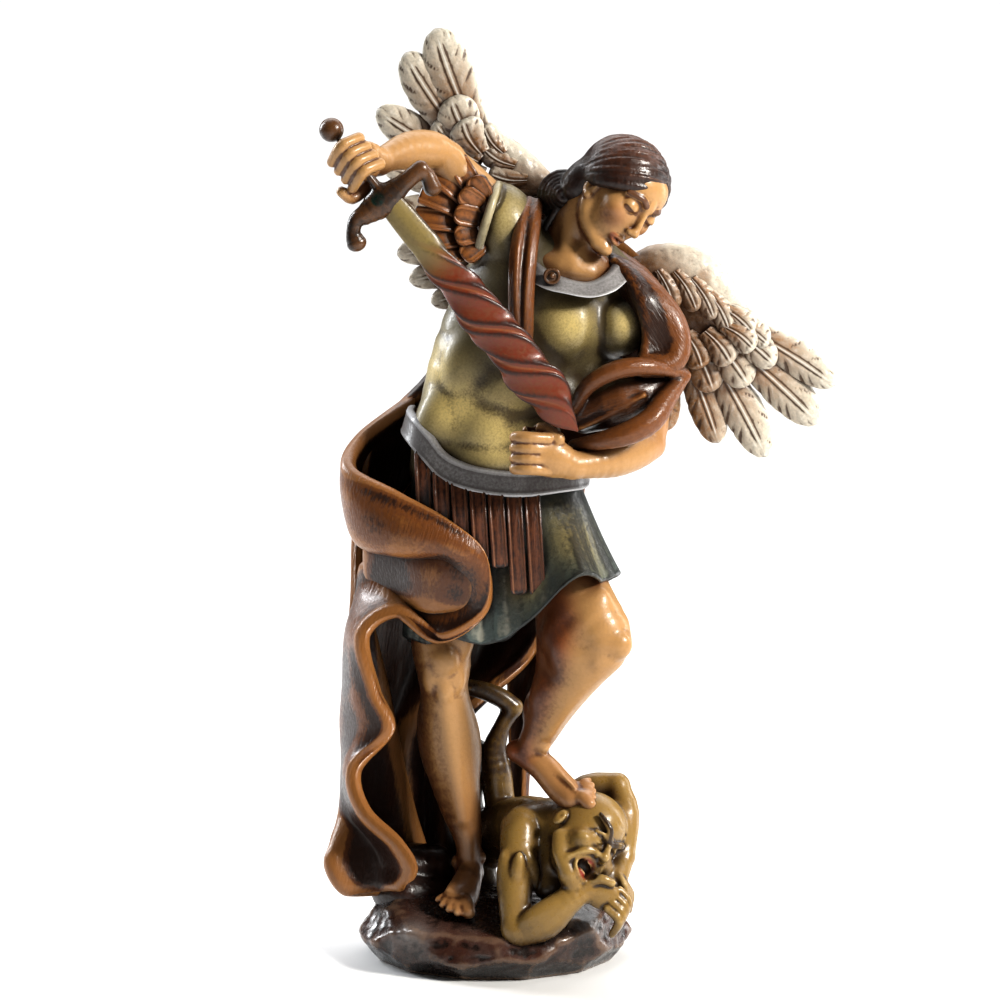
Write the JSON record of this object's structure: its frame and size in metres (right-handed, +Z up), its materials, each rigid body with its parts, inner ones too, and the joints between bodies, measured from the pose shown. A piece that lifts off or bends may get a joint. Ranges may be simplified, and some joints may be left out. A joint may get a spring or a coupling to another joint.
{
  "type": "archangel michael statue",
  "caption": "Painted resin statuette of a winged archangel in a muscled cuirass and cloak, holding a flame-bladed sword and treading down a crouching demon on a rock base.",
  "frame": {"origin": "centre of the rock base's flat underside", "axes": "+Z up, +X to the angel's left (the viewer's right), +Y behind the angel"},
  "size_m": [0.113, 0.0589, 0.2061],
  "materials": {
    "cloak": "rust-brown paint, dark wash in the folds, gloss varnish",
    "skin": "warm flesh paint, brown wash, gloss varnish",
    "cuirass": "olive-gold paint shading to grey-green, satin varnish",
    "tunic": "blue-green paint with olive highlights, satin varnish",
    "leather": "dark brown paint, rubbed edges",
    "silver": "tarnished silver paint, dark wash",
    "feathers": "grey-ivory dry-brushed over brown wash, satin varnish",
    "hair": "dark brown paint, gloss varnish",
    "blade": "olive-gold paint turning to red-orange towards the point, gloss varnish",
    "bronze": "bronze paint, gloss varnish",
    "demon": "olive-tan paint, brown wash, gloss varnish",
    "rock": "dark brown paint with amber rubbed edges, gloss varnish"
  },
  "bodies": {
    "root": {"statue": "cloak"}
  },
  "joints": []
}
